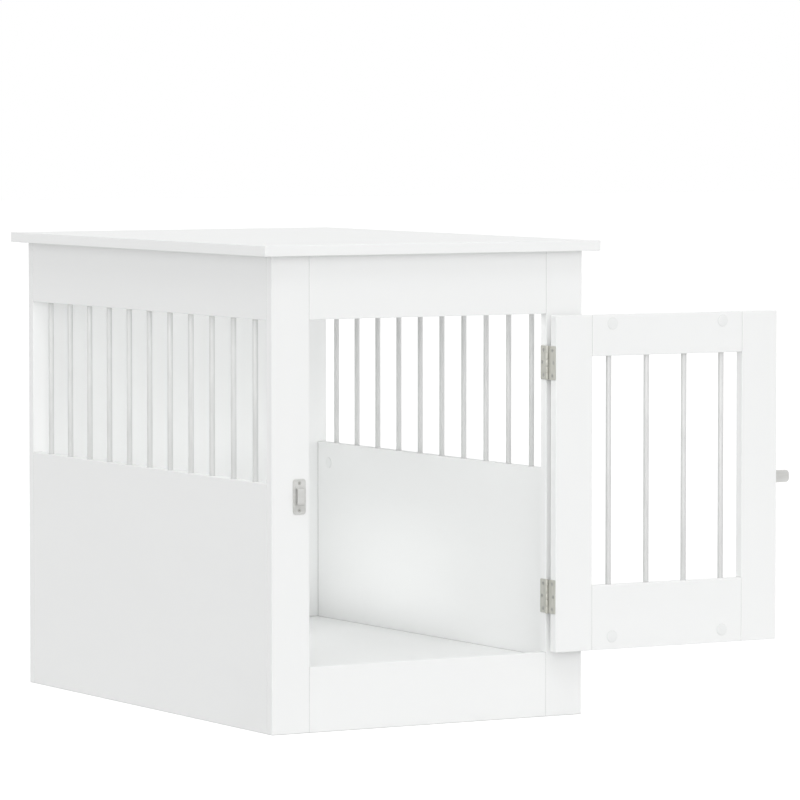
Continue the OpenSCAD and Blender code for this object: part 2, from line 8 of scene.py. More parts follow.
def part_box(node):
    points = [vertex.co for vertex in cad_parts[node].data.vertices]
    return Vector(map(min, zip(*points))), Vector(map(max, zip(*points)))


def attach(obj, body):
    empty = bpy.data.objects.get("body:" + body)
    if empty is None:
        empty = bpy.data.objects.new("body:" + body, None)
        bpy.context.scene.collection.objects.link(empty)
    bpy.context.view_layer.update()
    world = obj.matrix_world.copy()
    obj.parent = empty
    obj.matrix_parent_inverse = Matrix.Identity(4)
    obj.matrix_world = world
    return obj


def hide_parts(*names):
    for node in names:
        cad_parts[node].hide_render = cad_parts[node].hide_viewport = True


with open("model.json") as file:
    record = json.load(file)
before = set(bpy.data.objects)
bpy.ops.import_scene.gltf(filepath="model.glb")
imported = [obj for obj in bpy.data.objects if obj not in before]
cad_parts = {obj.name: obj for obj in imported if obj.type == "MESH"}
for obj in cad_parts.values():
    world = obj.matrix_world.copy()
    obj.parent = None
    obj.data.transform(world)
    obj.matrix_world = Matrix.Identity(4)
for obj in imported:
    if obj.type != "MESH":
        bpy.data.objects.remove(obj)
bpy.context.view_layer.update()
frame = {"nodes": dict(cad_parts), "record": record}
nodes = frame["nodes"]
mm = 0.001


def say(stage):
    print("crate:", stage, flush=True)


# Camera, low and to the left of the front
cameraLook = {
    "place": (-3.7658, -6.8082, 0.9027),
    "turnToRight": 30.05,
    "tiltDown": 3.41,
    "lens": 238.87,
}


def makeCamera(look):
    data = bpy.data.cameras.new("viewCamera")
    data.lens = look["lens"]
    data.sensor_width = 36
    data.clip_end = 100
    camera = bpy.data.objects.new("viewCamera", data)
    camera.location = look["place"]
    tilt = math.radians(90 - look["tiltDown"])
    camera.rotation_euler = (tilt, 0, -math.radians(look["turnToRight"]))
    bpy.context.scene.collection.objects.link(camera)
    bpy.context.scene.camera = camera


makeCamera(cameraLook)
say("camera")


# Studio: an even sky, wide lights all round the front, and small fills in and beside the crate
studioLook = {
    "skyLevel": 0.61,
    # level, degrees across, and where it comes from
    "keyLight": (0.46, 50, (-0.61, -0.79, 0.06)),
    "upperLight": (0.10, 16, (-0.25, -0.50, 0.83)),
    "topLight": (0.18, 50, (-0.20, -0.10, 0.97)),
    "rightLight": (0.11, 50, (0.70, -0.68, 0.20)),
    # watts, size, place, and where it shines
    "ceilingFill": (0.27, (0.30, 0.20), (0, -0.25, 0.64), (0, 0, -1)),
    "wallFill": (0.072, (0.38, 0.04), (0, 0.25, 0.64), (0, 1, -0.6)),
    "lowFill": (0.14, (0.20, 0.30), (0, 0.12, 0.28), (0, 0, -1)),
    "floorFill": (0.27, (0.37, 0.42), (0, 0.15, 0.085), (0, 0, 1)),
    "sideFill": (3.0, (0.50, 0.40), (1.40, -0.15, 0.48), (-1, 0.2, 0)),
    "floorSize": 60,
    "floorWhite": 0.70,   # what the floor gives back to the crate
    "floorShadow": 0.30,  # share of the seen floor that takes the shadow
    "floorGlow": 0.84,
}


def hangLight(name, data, comesFrom):
    light = bpy.data.objects.new(name, data)
    light.rotation_mode = "QUATERNION"
    light.rotation_quaternion = Vector(comesFrom).to_track_quat("Z", "Y")
    bpy.context.scene.collection.objects.link(light)
    return light


def makeWideLight(name, level, spread, comesFrom):
    data = bpy.data.lights.new(name, "SUN")
    data.energy = level * math.pi
    data.angle = math.radians(spread)
    hangLight(name, data, comesFrom)


def makeFill(name, power, size, place, shines):
    data = bpy.data.lights.new(name, "AREA")
    data.shape = "RECTANGLE"
    data.size, data.size_y = size
    data.energy = power
    light = hangLight(name, data, -Vector(shines))
    light.location = place
    light.visible_camera = False
    light.visible_glossy = False


def seenRays(tree):
    # 1 for what the camera, a reflection or glass sees, and 0 for light on its way to a surface
    rays = tree.nodes.new("ShaderNodeLightPath")
    seen = rays.outputs["Is Camera Ray"]
    for kind in ("Is Glossy Ray", "Is Transmission Ray"):
        either = tree.nodes.new("ShaderNodeMath")
        either.operation = "MAXIMUM"
        tree.links.new(seen, either.inputs[0])
        tree.links.new(rays.outputs[kind], either.inputs[1])
        seen = either.outputs["Value"]
    return seen


def mixBySeen(tree, lit, seen, end):
    mix = tree.nodes.new("ShaderNodeMixShader")
    tree.links.new(seenRays(tree), mix.inputs["Fac"])
    tree.links.new(lit, mix.inputs[1])
    tree.links.new(seen, mix.inputs[2])
    tree.links.new(mix.outputs["Shader"], end)


def makeSky(look):
    world = bpy.data.worlds.new("studioSky")
    world.use_nodes = True
    bpy.context.scene.world = world
    tree = world.node_tree
    sky = tree.nodes["Background"]
    sky.inputs["Color"].default_value = (1, 1, 1, 1)
    sky.inputs["Strength"].default_value = look["skyLevel"]
    white = tree.nodes.new("ShaderNodeBackground")
    white.inputs["Color"].default_value = (1, 1, 1, 1)
    end = tree.nodes["World Output"].inputs["Surface"]
    mixBySeen(tree, sky.outputs["Background"], white.outputs["Background"], end)


def makeFloor(look):
    bpy.ops.object.select_all(action="DESELECT")
    bpy.ops.mesh.primitive_plane_add(size=look["floorSize"])
    floor = bpy.context.object
    floor.name = "studioFloor"
    material = bpy.data.materials.new("palePaper")
    material.use_nodes = True
    tree = material.node_tree
    tree.nodes.clear()
    paper = tree.nodes.new("ShaderNodeBsdfDiffuse")
    paper.inputs["Color"].default_value = (look["floorWhite"],) * 3 + (1,)
    shadowed = tree.nodes.new("ShaderNodeBsdfDiffuse")
    shadowed.inputs["Color"].default_value = (look["floorShadow"],) * 3 + (1,)
    glow = tree.nodes.new("ShaderNodeEmission")
    glow.inputs["Strength"].default_value = look["floorGlow"]
    both = tree.nodes.new("ShaderNodeAddShader")
    tree.links.new(shadowed.outputs["BSDF"], both.inputs[0])
    tree.links.new(glow.outputs["Emission"], both.inputs[1])
    end = tree.nodes.new("ShaderNodeOutputMaterial").inputs["Surface"]
    mixBySeen(tree, paper.outputs["BSDF"], both.outputs["Shader"], end)
    floor.data.materials.append(material)


makeSky(studioLook)
for name in ("keyLight", "upperLight", "topLight", "rightLight"):
    makeWideLight(name, *studioLook[name])
for name in ("ceilingFill", "wallFill", "lowFill", "floorFill", "sideFill"):
    makeFill(name, *studioLook[name])
makeFloor(studioLook)
bpy.context.scene.view_settings.view_transform = "Standard"
say("studio")


# Finishes. Every pattern is set out in metres on the object's own coordinates.
def newFinish(name, colour, roughness, metallic=0.0, gloss=0.5):
    material = bpy.data.materials.new(name)
    material.use_nodes = True
    shader = material.node_tree.nodes["Principled BSDF"]
    shader.inputs["Base Color"].default_value = colour + (1,)
    shader.inputs["Roughness"].default_value = roughness
    shader.inputs["Metallic"].default_value = metallic
    shader.inputs["Specular IOR Level"].default_value = gloss
    return material, material.node_tree, shader


def stretched(tree, perMetre, turn=(0, 0, 0)):
    place = tree.nodes.new("ShaderNodeTexCoord")
    fit = tree.nodes.new("ShaderNodeMapping")
    fit.inputs["Scale"].default_value = perMetre
    fit.inputs["Rotation"].default_value = turn
    tree.links.new(place.outputs["Object"], fit.inputs["Vector"])
    return fit.outputs["Vector"]


def clouds(tree, perMetre, detail=3.0, turn=(0, 0, 0)):
    noise = tree.nodes.new("ShaderNodeTexNoise")
    noise.inputs["Scale"].default_value = 1
    noise.inputs["Detail"].default_value = detail
    tree.links.new(stretched(tree, perMetre, turn), noise.inputs["Vector"])
    return noise.outputs["Fac"]


def tinted(tree, value, stops):
    ramp = tree.nodes.new("ShaderNodeValToRGB")
    marks = ramp.color_ramp.elements
    while len(marks) < len(stops):
        marks.new(0.5)
    for mark, (position, colour) in zip(marks, stops):
        mark.position = position
        mark.color = colour + (1,)
    tree.links.new(value, ramp.inputs["Fac"])
    return ramp.outputs["Color"]


def between(tree, value, low, high):
    spread = tree.nodes.new("ShaderNodeMapRange")
    spread.inputs["From Min"].default_value = 0.3
    spread.inputs["From Max"].default_value = 0.7
    spread.inputs["To Min"].default_value = low
    spread.inputs["To Max"].default_value = high
    tree.links.new(value, spread.inputs["Value"])
    return spread.outputs["Result"]


def raised(tree, height, depth, strength=1.0, under=None):
    bump = tree.nodes.new("ShaderNodeBump")
    bump.inputs["Distance"].default_value = depth
    bump.inputs["Strength"].default_value = strength
    tree.links.new(height, bump.inputs["Height"])
    if under is not None:
        tree.links.new(under, bump.inputs["Normal"])
    return bump.outputs["Normal"]


def paintedShadeInGrooves(tree, colour, look):
    # painted shade, with some dust, in the joints between boards and in tight inside corners: the colour
    # is darkened by how closed in the surface is
    closed = tree.nodes.new("ShaderNodeAmbientOcclusion")
    closed.samples = 6
    closed.inputs["Distance"].default_value = look["grooveReach"]
    share = tinted(tree, closed.outputs["AO"], [(0.45, look["groove"]), (0.95, (1.0, 1.0, 1.0))])
    mix = tree.nodes.new("ShaderNodeMix")
    mix.data_type = "RGBA"
    mix.blend_type = "MULTIPLY"
    mix.inputs["Factor"].default_value = 1
    first, second = [socket for socket in mix.inputs if socket.type == "RGBA"]
    tree.links.new(colour, first)
    tree.links.new(share, second)
    return next(socket for socket in mix.outputs if socket.type == "RGBA")


boardLook = {
    "dark": (0.876, 0.883, 0.879),
    "light": (0.884, 0.891, 0.887),
    "groove": (0.70, 0.70, 0.69),   # what is left of the colour deep in a joint under the painted shade and dust
    "grooveReach": 1.6 * mm,
    "roughness": (0.50, 0.60),
    "poreDepth": 0.03 * mm,
    "waveDepth": 0.12 * mm,
}


def boardFinish(name, grain):
    # White foil over board: a faint grain runs along the board, over a very slight unevenness
    material, tree, shader = newFinish(name, boardLook["light"], 0.55, gloss=0.4)
    longPores = clouds(tree, tuple(60 if axis == grain else 1400 for axis in "XYZ"), 4)
    drift = clouds(tree, tuple(2.5 if axis == grain else 9 for axis in "XYZ"), 4)
    colour = tinted(tree, drift, [(0.32, boardLook["dark"]), (0.62, boardLook["light"])])
    # painted shade, with some dust, darkens the colour in joints and tight corners
    tree.links.new(paintedShadeInGrooves(tree, colour, boardLook), shader.inputs["Base Color"])
    tree.links.new(between(tree, longPores, *boardLook["roughness"]), shader.inputs["Roughness"])
    waves = raised(tree, clouds(tree, (14, 14, 14), 1), boardLook["waveDepth"], 0.6)
    tree.links.new(raised(tree, longPores, boardLook["poreDepth"], 0.5, waves), shader.inputs["Normal"])
    return material


metalLooks = {
    # darker tone, lighter tone, roughness, metallic share, direction of the brushing
    "barMetal": ((0.65, 0.655, 0.65), (0.70, 0.705, 0.70), (0.50, 0.62), 0.25, "Z"),
    "hingeSteel": ((0.48, 0.48, 0.43), (0.57, 0.565, 0.52), (0.36, 0.50), 0.30, "Z"),
    "latchSteel": ((0.53, 0.53, 0.515), (0.60, 0.60, 0.585), (0.34, 0.46), 0.30, "X"),
    # the screw steel is darker than the other metals, partly its own tone and partly painted shade for
    # the shadow round the countersunk heads
    "screwSteel": ((0.36, 0.36, 0.34), (0.46, 0.46, 0.44), (0.28, 0.42), 0.6, "Y"),
}


def metalFinish(name):
    # Plated or painted metal with fine drawing lines and cloudy patches
    dark, light, rough, metallic, lines = metalLooks[name]
    material, tree, shader = newFinish(name, light, rough[0], metallic)
    brushed = clouds(tree, tuple(40 if axis == lines else 3000 for axis in "XYZ"), 3)
    patches = clouds(tree, tuple(22 if axis == lines else 160 for axis in "XYZ"), 4)
    tree.links.new(tinted(tree, patches, [(0.34, dark), (0.60, light)]), shader.inputs["Base Color"])
    tree.links.new(between(tree, brushed, *rough), shader.inputs["Roughness"])
    hollows = raised(tree, patches, 0.25 * mm, 0.35)
    tree.links.new(raised(tree, brushed, 0.02 * mm, 0.4, hollows), shader.inputs["Normal"])
    return material


def zincFinish():
    # Die-cast zinc, mottled and a little rough
    material, tree, shader = newFinish("castZinc", (0.5, 0.51, 0.52), 0.5, 1.0)
    cast = clouds(tree, (700, 700, 700), 5)
    stops = [(0.30, (0.40, 0.41, 0.42)), (0.70, (0.60, 0.61, 0.62))]
    tree.links.new(tinted(tree, cast, stops), shader.inputs["Base Color"])
    tree.links.new(between(tree, cast, 0.42, 0.62), shader.inputs["Roughness"])
    tree.links.new(raised(tree, cast, 0.08 * mm, 0.6), shader.inputs["Normal"])
    return material


def beechFinish():
    # Bare beech with long grain and short dark flecks
    material, tree, shader = newFinish("bareBeech", (0.72, 0.55, 0.36), 0.7)
    grain = clouds(tree, (500, 60, 60), 6)
    stops = [(0.30, (0.55, 0.38, 0.22)), (0.48, (0.70, 0.52, 0.33)), (0.70, (0.78, 0.62, 0.43))]
    tree.links.new(tinted(tree, grain, stops), shader.inputs["Base Color"])
    tree.links.new(raised(tree, grain, 0.1 * mm, 0.5), shader.inputs["Normal"])
    return material


def plasticFinish():
    # Moulded white plastic with a fine spark-eroded surface
    material, tree, shader = newFinish("capPlastic", (0.835, 0.845, 0.840), 0.5)
    grit = clouds(tree, (2600, 2600, 2600), 2)
    cloud = clouds(tree, (60, 60, 60), 3)
    stops = [(0.35, (0.820, 0.830, 0.825)), (0.65, (0.845, 0.855, 0.850))]
    tree.links.new(tinted(tree, cloud, stops), shader.inputs["Base Color"])
    tree.links.new(between(tree, grit, 0.42, 0.56), shader.inputs["Roughness"])
    tree.links.new(raised(tree, grit, 0.02 * mm, 0.6), shader.inputs["Normal"])
    return material


boardFinishes = {grain: boardFinish("whiteBoardAlong" + grain, grain) for grain in "XYZ"}
finishes = {
    "bar_metal": metalFinish("barMetal"),
    "hinge_steel": metalFinish("hingeSteel"),
    "latch_steel": metalFinish("latchSteel"),
    "screw_steel": metalFinish("screwSteel"),
    "zinc": zincFinish(),
    "beech": beechFinish(),
    "white_plastic": plasticFinish(),
}
say("finishes")


# Boards and hidden fasteners are the CAD's own, with their finish and a softened arris
boardArris = {"width": 0.3 * mm, "segments": 2, "angle": 30}
mergeReach = 0.005 * mm   # corners of a CAD mesh that are nearer than this are one
slots = {part["node"]: part["material_slot"] for part in frame["record"]["subparts"]}


def finishNode(name):
    item = nodes[name]
    item.data.materials.clear()
    if slots[name] != "white_board":
        item.data.materials.append(finishes[slots[name]])
        return
    low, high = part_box(name)
    size = high - low
    grain = "XYZ"[list(size).index(max(size))]
    item.data.materials.append(boardFinishes[grain])
    mend = item.modifiers.new("weld", "WELD")
    mend.merge_threshold = mergeReach
    soften = item.modifiers.new("soften", "BEVEL")
    soften.width = boardArris["width"]
    soften.segments = boardArris["segments"]
    soften.limit_method = "ANGLE"
    soften.angle_limit = math.radians(boardArris["angle"])
    soften.harden_normals = True


for nodeName in nodes:
    finishNode(nodeName)
say("boards")


# Helpers for modelling
def pickFaces(piece, wanted):
    bpy.ops.object.mode_set(mode="EDIT")
    bpy.ops.mesh.select_mode(type="FACE")
    bpy.ops.mesh.select_all(action="DESELECT")
    bpy.ops.object.mode_set(mode="OBJECT")
    for face in piece.data.polygons:
        face.select = bool(wanted(face.center, face.normal))
    bpy.ops.object.mode_set(mode="EDIT")


def pickEdges(piece, wanted):
    bpy.ops.object.mode_set(mode="EDIT")
    bpy.ops.mesh.select_mode(type="EDGE")
    bpy.ops.mesh.select_all(action="DESELECT")
    bpy.ops.object.mode_set(mode="OBJECT")
    points = piece.data.vertices
    for edge in piece.data.edges:
        first, second = (points[i].co for i in edge.vertices)
        edge.select = bool(wanted(first, second))
    bpy.ops.object.mode_set(mode="EDIT")


def addBlock(name, low, high):
    bpy.ops.object.select_all(action="DESELECT")
    low, high = Vector(low) * mm, Vector(high) * mm
    bpy.ops.mesh.primitive_cube_add(size=1, location=(low + high) / 2, scale=high - low)
    bpy.ops.object.transform_apply(location=True, rotation=True, scale=True)
    piece = bpy.context.object
    piece.name = name
    return piece


def addOutline(name, points):
    # A line of edges drawn from point to point by extruding one corner
    bpy.ops.object.select_all(action="DESELECT")
    bpy.ops.mesh.primitive_plane_add(size=mm)
    piece = bpy.context.object
    piece.name = name
    bpy.ops.object.mode_set(mode="EDIT")
    bpy.ops.mesh.select_mode(type="VERT")
    bpy.ops.mesh.select_all(action="SELECT")
    bpy.ops.mesh.merge(type="CENTER")
    bpy.ops.transform.translate(value=Vector(points[0]) * mm)
    for start, end in zip(points, points[1:]):
        step = (Vector(end) - Vector(start)) * mm
        bpy.ops.mesh.extrude_region_move(TRANSFORM_OT_translate={"value": step})
    return piece


def addTurned(name, outline, steps=32):
    # Turned piece: an outline of radius and height, spun round Z
    piece = addOutline(name, [(radius, 0, height) for radius, height in outline])
    bpy.ops.mesh.select_all(action="SELECT")
    bpy.ops.mesh.spin(steps=steps, angle=math.tau, center=(0, 0, 0), axis=(0, 0, 1))
    bpy.ops.mesh.select_all(action="SELECT")
    bpy.ops.mesh.remove_doubles(threshold=0.002 * mm)
    bpy.ops.mesh.normals_make_consistent(inside=False)
    bpy.ops.object.mode_set(mode="OBJECT")
    return piece


def useModifier(piece, kind, **values):
    bpy.context.view_layer.objects.active = piece
    modifier = piece.modifiers.new(kind.lower(), kind)
    for name, value in values.items():
        setattr(modifier, name, value)
    bpy.ops.object.modifier_apply(modifier=modifier.name)


def cutBy(piece, tool):
    useModifier(piece, "BOOLEAN", operation="DIFFERENCE", object=tool, solver="EXACT")
    bpy.data.objects.remove(tool)


def weld(piece, tool):
    useModifier(piece, "BOOLEAN", operation="UNION", object=tool, solver="EXACT")
    bpy.data.objects.remove(tool)


def roundEdges(piece, width, segments=2, angle=35):
    useModifier(piece, "BEVEL", width=width * mm, segments=segments, limit_method="ANGLE",
                angle_limit=math.radians(angle))


def copyTo(piece, name, place):
    twin = piece.copy()
    twin.data = piece.data.copy()
    twin.name = name
    twin.data.transform(place)
    bpy.context.scene.collection.objects.link(twin)
    return twin


def joined(name, parts):
    bpy.ops.object.select_all(action="DESELECT")
    for part in parts:
        part.select_set(True)
    bpy.context.view_layer.objects.active = parts[0]
    if len(parts) > 1:
        bpy.ops.object.join()
    piece = bpy.context.view_layer.objects.active
    piece.name = name
    return piece


def finishPiece(piece, body, slotName, *replaced, smoothAngle=35):
    bpy.ops.object.select_all(action="DESELECT")
    piece.select_set(True)
    bpy.context.view_layer.objects.active = piece
    bpy.ops.object.shade_smooth_by_angle(angle=math.radians(smoothAngle))
    piece.data.materials.clear()
    piece.data.materials.append(finishes[slotName])
    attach(piece, body)
    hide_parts(*replaced)


def placedAt(origin, along, outward):
    # Frame with its origin there, its X along and its Z outward
    x, z = Vector(along), Vector(outward)
    turn = Matrix((x, z.cross(x), z)).transposed().to_4x4()
    return Matrix.Translation(origin) @ turn


def partsOf(nodeName):
    # Lowest and highest corner of each solid in a CAD node, from a merged copy
    bpy.ops.object.select_all(action="DESELECT")
    copy = copyTo(nodes[nodeName], "measured", Matrix.Identity(4))
    copy.parent = None
    copy.select_set(True)
    bpy.context.view_layer.objects.active = copy
    bpy.ops.object.mode_set(mode="EDIT")
    bpy.ops.mesh.select_all(action="SELECT")
    bpy.ops.mesh.remove_doubles(threshold=mergeReach)
    bpy.ops.mesh.separate(type="LOOSE")
    bpy.ops.object.mode_set(mode="OBJECT")
    boxes = []
    for part in list(bpy.context.selected_objects):
        points = [point.co for point in part.data.vertices]
        low = Vector([min(point[i] for point in points) for i in range(3)])
        high = Vector([max(point[i] for point in points) for i in range(3)])
        boxes.append((low, high))
        bpy.data.objects.remove(part)
    return sorted(boxes, key=lambda box: tuple(round(value, 5) for value in box[0]))


# Round bars, each with a small bevel at its ends
barLook = {"radius": 4, "bevel": 0.8, "shoulder": 0.2, "steps": 40}


def makeBars(name, nodeName, body):
    boxes = partsOf(nodeName)
    length = (boxes[0][1].z - boxes[0][0].z) / mm
    radius, bevel = barLook["radius"], barLook["bevel"]
    shoulder = radius - barLook["shoulder"]
    outline = [(0, 0), (radius - bevel, 0), (shoulder, bevel / 2), (radius, bevel),
               (radius, length - bevel), (shoulder, length - bevel / 2),
               (radius - bevel, length), (0, length)]
    first = addTurned("bar", outline, barLook["steps"])
    bars = []
    for low, high in boxes:
        foot = Vector(((low.x + high.x) / 2, (low.y + high.y) / 2, low.z))
        bars.append(copyTo(first, "bar", Matrix.Translation(foot)))
    bpy.data.objects.remove(first)
    finishPiece(joined(name, bars), body, "bar_metal", nodeName)


makeBars("leftBarRow", "left_bars", "crate_body")
makeBars("rightBarRow", "right_bars", "crate_body")
makeBars("doorBarRow", "door_bars", "door")
say("bars")


# Cover caps, pressed on over the fasteners: a thin rim and a slight dome
capLook = {
    "radius": 8,
    "height": 0.8,
    "rim": 0.35,
    "dome": 0.1,           # how much higher the middle is than the rim
    "foot": (0.05, 0.08),  # how far the foot is drawn in, and how high
    "steps": 48,
}


def makeCaps(name, nodeName, body):
    radius, height, rim = capLook["radius"], capLook["height"], capLook["rim"]
    dome = capLook["dome"]
    footInset, footRise = capLook["foot"]
    outline = [(0, 0), (radius - footInset, 0), (radius, footRise)]
    outline += [(radius - rim + rim * math.cos(a), height - dome - rim + rim * math.sin(a))
                for a in (0.0, 0.5, 1.0, 1.5)]
    outline += [(radius * share, height - dome * share ** 2) for share in (0.8, 0.5, 0.25, 0)]
    first = addTurned("cap", outline, capLook["steps"])
    caps = []
    for low, high in partsOf(nodeName):
        size, middle = high - low, (low + high) / 2
        thin = list(size).index(min(size))
        outward = Vector((0, 0, 0))
        # caps face the room inside the crate, and on the open door away from the crate's back
        outward[thin] = -1 if body == "door" or middle[thin] > 0 else 1
        foot = middle - outward * size[thin] / 2
        along = (0, 0, 1) if thin != 2 else (1, 0, 0)
        caps.append(copyTo(first, "cap", placedAt(foot, along, outward)))
    bpy.data.objects.remove(first)
    finishPiece(joined(name, caps), body, "white_plastic", nodeName)


makeCaps("bodyCapSet", "body_cover_caps", "crate_body")
makeCaps("doorCapSet", "door_cover_caps", "door")
say("caps")


# Countersunk screws with a cross recess and a thread
sheetThick = 1.2   # of the hinge leaves, the latch plate and the keeper
screwLook = {
    "headRadius": 2.8,
    "headEdge": (0.12, 0.10),     # width and height of the edge round the head
    "seat": 0.25,         # how much wider the countersink is than the head
    "headDrop": 0.10,     # how far the head lies under the plate's face
    "shankRadius": 1.5,
    "holePlay": 0.1,
    "coreRadius": 1.1,
    "length": 11,
    "point": 3,
    "tip": (0.8, 0.6),            # shares of the core's radius and of the point's length
    "threads": 6,
    "threadRoot": (0.35, 0.6),    # where the root starts and ends, in shares of the pitch
    "plate": sheetThick,
    "recess": (3.3, 0.75, 1.6),   # span, width and depth of each arm
    "recessTaper": (0.35, 0.6),   # shares of the span and the width that are left at its bottom
    "turns": (17, 31),            # degrees that the first screw is turned, and each one further
}


def makeScrew(look):
    plate, shank, core = look["plate"] - look["headDrop"], look["shankRadius"], look["coreRadius"]
    edgeWide, edgeHigh = look["headEdge"]
    outline = [(0, plate), (look["headRadius"] - edgeWide, plate),
               (look["headRadius"], plate - edgeHigh), (shank, 0)]
    pitch = (look["length"] - look["point"]) / look["threads"]
    rootStart, rootEnd = look["threadRoot"]
    for turn in range(look["threads"]):
        top = -pitch * turn
        outline += [(core, top - pitch * rootStart), (core, top - pitch * rootEnd), (shank, top - pitch)]
    tipRadius, tipRise = look["tip"]
    outline += [(core * tipRadius, look["point"] * tipRise - look["length"]), (0, -look["length"])]
    screw = addTurned("screw", outline, 28)
    span, width, depth = look["recess"]
    for turn in (0, 90):
        arm = addBlock("arm", (-span / 2, -width / 2, plate - depth), (span / 2, width / 2, plate + 1))
        pickFaces(arm, lambda middle, normal: normal.z < -0.9)
        bpy.ops.transform.resize(value=look["recessTaper"] + (1,))
        bpy.ops.object.mode_set(mode="OBJECT")
        arm.data.transform(Matrix.Rotation(math.radians(turn), 4, "Z"))
        cutBy(screw, arm)
    return screw


def makeScrews(name, nodeName, body, places):
    screws = []
    firstTurn, nextTurn = screwLook["turns"]
    for i, place in enumerate(places):
        turned = place @ Matrix.Rotation(math.radians(firstTurn + nextTurn * i), 4, "Z")
        screws.append(copyTo(firstScrew, "screw", turned))
    finishPiece(joined(name, screws), body, "screw_steel", nodeName)


def sinkScrews(plate, places):
    # Countersunk holes, cut by a cone that runs on past both faces of the plate
    look = screwLook
    hole = look["shankRadius"] + look["holePlay"]
    seat = look["headRadius"] + look["seat"]
    past = look["plate"] / 2
    spread = (seat - hole) / 2
    outline = [(0, -past), (hole - spread, -past), (seat + spread, past * 3), (0, past * 3)]
    for place in places:
        sink = addTurned("sink", outline)
        sink.data.transform(place)
        cutBy(plate, sink)


firstScrew = makeScrew(screwLook)


# Butt hinges: a leaf rolled round the pin at every other knuckle
hingeLook = {
    "height": 48,
    "thick": sheetThick,
    "reach": 19.5,
    "barrelRadius": 2.5,
    "knuckles": 5,
    "knuckleGap": 0.3,
    "rollTurn": 292,      # degrees
    "rollSteps": 26,
    "cornerRound": 1.2,
    "edgeRound": 0.14,
    "screwNear": 12,
    "screwFar": 15,
    "screwRise": 17.8,
    "pinRadius": 1.27,
    "pinHead": (0.8, 0.8),   # share of the barrel's radius, and height
}


def leafScrewPlaces(leafPlace, look):
    for rise in (-1, 0, 1):
        out = look["screwNear"] if rise else look["screwFar"]
        origin = Vector((out, look["barrelRadius"], rise * look["screwRise"])) * mm
        yield leafPlace @ placedAt(origin, (1, 0, 0), (0, -1, 0))


def makeLeaf(name, firstKnuckle, look):
    half, radius, thick = look["height"] / 2, look["barrelRadius"], look["thick"]
    gap = look["knuckleGap"]
    tall = (look["height"] - (look["knuckles"] - 1) * gap) / look["knuckles"]
    start = radius + gap
    leaf = addBlock(name, (start, radius - thick, -half), (look["reach"], radius, half))
    pickEdges(leaf, lambda a, b: min(a.x, b.x) > (look["reach"] - 0.1) * mm and abs(a.z - b.z) < mm)
    bpy.ops.mesh.bevel(offset=look["cornerRound"] * mm, segments=5, affect="EDGES")
    bands = []
    for i in range(firstKnuckle, look["knuckles"], 2):
        foot = i * (tall + gap) - half
        bands.append((foot, foot + tall))
        for level in (foot, foot + tall):
            if abs(level) < half - 0.01:
                bpy.ops.mesh.select_all(action="SELECT")
                bpy.ops.mesh.bisect(plane_co=(0, 0, level * mm), plane_no=(0, 0, 1))

    def inBand(middle):
        return any(low * mm < middle.z < high * mm for low, high in bands)

    # draw the tabs out to the pin and roll them round it
    pickFaces(leaf, lambda middle, normal: normal.x < -0.9 and inBand(middle))
    bpy.ops.mesh.extrude_region_move(TRANSFORM_OT_translate={"value": (-start * mm, 0, 0)})
    pickFaces(leaf, lambda middle, normal: normal.x < -0.9 and abs(middle.x) < 0.1 * mm)
    bpy.ops.mesh.spin(steps=look["rollSteps"], angle=math.radians(look["rollTurn"]),
                      center=(0, 0, 0), axis=(0, 0, -1))
    bpy.ops.mesh.select_all(action="SELECT")
    bpy.ops.mesh.remove_doubles(threshold=0.002 * mm)
    bpy.ops.mesh.normals_make_consistent(inside=False)
    bpy.ops.object.mode_set(mode="OBJECT")
    sinkScrews(leaf, leafScrewPlaces(Matrix.Identity(4), look))
    roundEdges(leaf, look["edgeRound"])
    return leaf


def makePin(name, look):
    half, radius = look["height"] / 2, look["pinRadius"]
    share, rise = look["pinHead"]
    head = look["barrelRadius"] * share
    dome = [(head * math.sin(a), half + rise * math.cos(a)) for a in (0, 0.4, 0.8, 1.2, 1.5708)]
    outline = [(x, -z) for x, z in dome] + [(radius, -half), (radius, half)] + dome[::-1]
    return addTurned(name, outline, 32)


frameLeaf = makeLeaf("frameLeaf", 0, hingeLook)
doorLeaf = makeLeaf("doorLeaf", 1, hingeLook)
hingePin = makePin("hingePin", hingeLook)
frameScrewPlaces, doorScrewPlaces = [], []
for level in ("upper", "lower"):
    low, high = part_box(level + "_hinge_pin")
    middle = (low + high) / 2
    framePlace = placedAt(middle, (0, 1, 0), (0, 0, -1))
    doorPlace = placedAt(middle, (0, -1, 0), (0, 0, 1))
    leaf = copyTo(frameLeaf, level + "HingeFrameLeaf", framePlace)
    finishPiece(leaf, "crate_body", "hinge_steel", level + "_hinge_frame_leaf")
    leaf = copyTo(doorLeaf, level + "HingeDoorLeaf", doorPlace)
    finishPiece(leaf, "door", "hinge_steel", level + "_hinge_door_leaf")
    pin = copyTo(hingePin, level + "HingePin", Matrix.Translation(middle))
    finishPiece(pin, "crate_body", "hinge_steel", level + "_hinge_pin")
    frameScrewPlaces += leafScrewPlaces(framePlace, hingeLook)
    doorScrewPlaces += leafScrewPlaces(doorPlace, hingeLook)
for model in (frameLeaf, doorLeaf, hingePin):
    bpy.data.objects.remove(model)
makeScrews("hingeFrameScrewSet", "hinge_frame_screws", "crate_body", frameScrewPlaces)
makeScrews("hingeDoorScrewSet", "hinge_door_screws", "door", doorScrewPlaces)
say("hinges")


